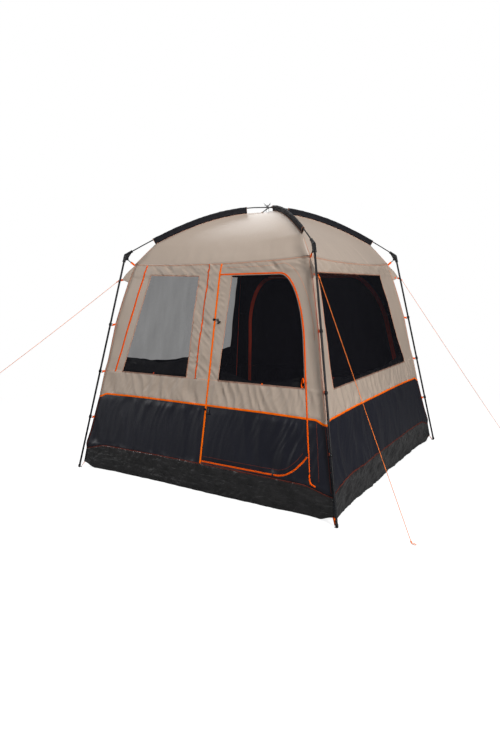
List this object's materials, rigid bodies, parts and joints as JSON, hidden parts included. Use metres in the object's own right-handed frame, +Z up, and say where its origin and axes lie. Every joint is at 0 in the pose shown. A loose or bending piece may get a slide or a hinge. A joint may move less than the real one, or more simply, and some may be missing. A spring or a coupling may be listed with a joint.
{
  "type": "family tent",
  "caption": "Square frame tent with a sewn cabin hung from crossed roof rods on leaning legs, mesh windows, a D-shaped front door and an arched back door.",
  "frame": {"origin": "centre of the floor on the ground, under the crown", "axes": "+Z up; the front wall, with the D-shaped door, faces -Y; +X is to the right for someone who looks at the front"},
  "size_m": [3.4625, 3.4625, 2.2817],
  "materials": {
    "tan_polyester": "matt woven, lightly coated",
    "dark_polyester": "matt woven, lightly coated",
    "coated_floor_sheet": "slightly glossy coated sheet",
    "orange_trim": "matt woven tape",
    "window_mesh": "matt fine net",
    "black_cloth": "matt woven",
    "coated_steel": "satin powder coat",
    "black_plastic": "matt moulded",
    "fibreglass": "smooth pultruded",
    "bright_steel": "bright drawn wire"
  },
  "bodies": {
    "tent": {"leg_front_left": "coated_steel", "elbow_front_left": "black_plastic", "pole_sleeve_front_left": "black_cloth", "corner_webbing_front_left": "orange_trim", "ring_pin_front_left": "bright_steel", "leg_front_right": "coated_steel", "elbow_front_right": "black_plastic", "pole_sleeve_front_right": "black_cloth", "corner_webbing_front_right": "orange_trim", "ring_pin_front_right": "bright_steel", "leg_back_right": "coated_steel", "elbow_back_right": "black_plastic", "pole_sleeve_back_right": "black_cloth", "corner_webbing_back_right": "orange_trim", "ring_pin_back_right": "bright_steel", "leg_back_left": "coated_steel", "elbow_back_left": "black_plastic", "pole_sleeve_back_left": "black_cloth", "corner_webbing_back_left": "orange_trim", "ring_pin_back_left": "bright_steel", "roof_rod_1": "fibreglass", "roof_rod_2": "fibreglass", "roof": "tan_polyester", "floor_tub": "coated_floor_sheet", "right_lower_wall": "dark_polyester", "right_upper_wall": "tan_polyester", "right_window_mesh": "window_mesh", "right_storm_flap": "black_cloth", "seam_trim_right": "orange_trim", "left_lower_wall": "dark_polyester", "left_upper_wall": "tan_polyester", "left_window_mesh": "window_mesh", "left_storm_flap": "black_cloth", "seam_trim_left": "orange_trim", "front_upper_wall": "tan_polyester", "front_lower_wall": "dark_polyester", "front_window_mesh": "window_mesh", "front_storm_flap": "black_cloth", "back_upper_wall": "tan_polyester", "back_lower_wall": "dark_polyester", "front_zip_frame": "orange_trim", "back_zip_frame": "orange_trim", "crown_tie": "black_cloth", "guyline_front_left": "orange_trim", "guyline_front_right": "orange_trim", "guyline_back_right": "orange_trim"},
    "front_door": {"front_door_upper": "tan_polyester", "front_door_lower": "dark_polyester", "front_door_mesh": "window_mesh", "front_door_zip": "orange_trim", "front_door_storm_flap": "black_cloth"},
    "back_door": {"back_door_upper": "tan_polyester", "back_door_lower": "dark_polyester", "back_door_zip": "orange_trim"},
    "front_side_slider": {"front_side_slider": "orange_trim"},
    "front_foot_slider": {"front_foot_slider": "orange_trim"},
    "back_slider": {"back_slider": "orange_trim"},
    "door_toggle_upper": {"door_toggle_upper": "black_plastic"},
    "door_toggle_lower": {"door_toggle_lower": "black_plastic"}
  },
  "joints": [
    {"name": "front_door_swing", "type": "hinge", "parent": "tent", "child": "front_door", "pos_m": [0.0793, -1.15596, 0.24764], "axis": [0, -0.2127, -0.9771], "range_deg": [0, 150]},
    {"name": "back_door_fold", "type": "hinge", "parent": "tent", "child": "back_door", "pos_m": [0, 1.15129, 0.255], "axis": [-1, 0, 0], "range_deg": [0, 105]},
    {"name": "front_side_slide", "type": "slide", "parent": "tent", "child": "front_side_slider", "axis": [-0.1509, 0.2103, 0.9659], "range_m": [0, 0.86]},
    {"name": "front_foot_slide", "type": "slide", "parent": "tent", "child": "front_foot_slider", "axis": [-1, 0, 0], "range_m": [0, 0.6]},
    {"name": "back_slide", "type": "slide", "parent": "tent", "child": "back_slider", "axis": [-1, 0, 0], "range_m": [0, 0.82]},
    {"name": "toggle_upper_swing", "type": "hinge", "parent": "front_door", "child": "door_toggle_upper", "pos_m": [0.1, -0.92408, 1.30006], "axis": [0, -0.9771, 0.2127], "range_deg": [-35, 60]},
    {"name": "toggle_lower_swing", "type": "hinge", "parent": "front_door", "child": "door_toggle_lower", "pos_m": [0.1, -1.07038, 0.62806], "axis": [0, -0.9771, 0.2127], "range_deg": [0, 90]}
  ]
}
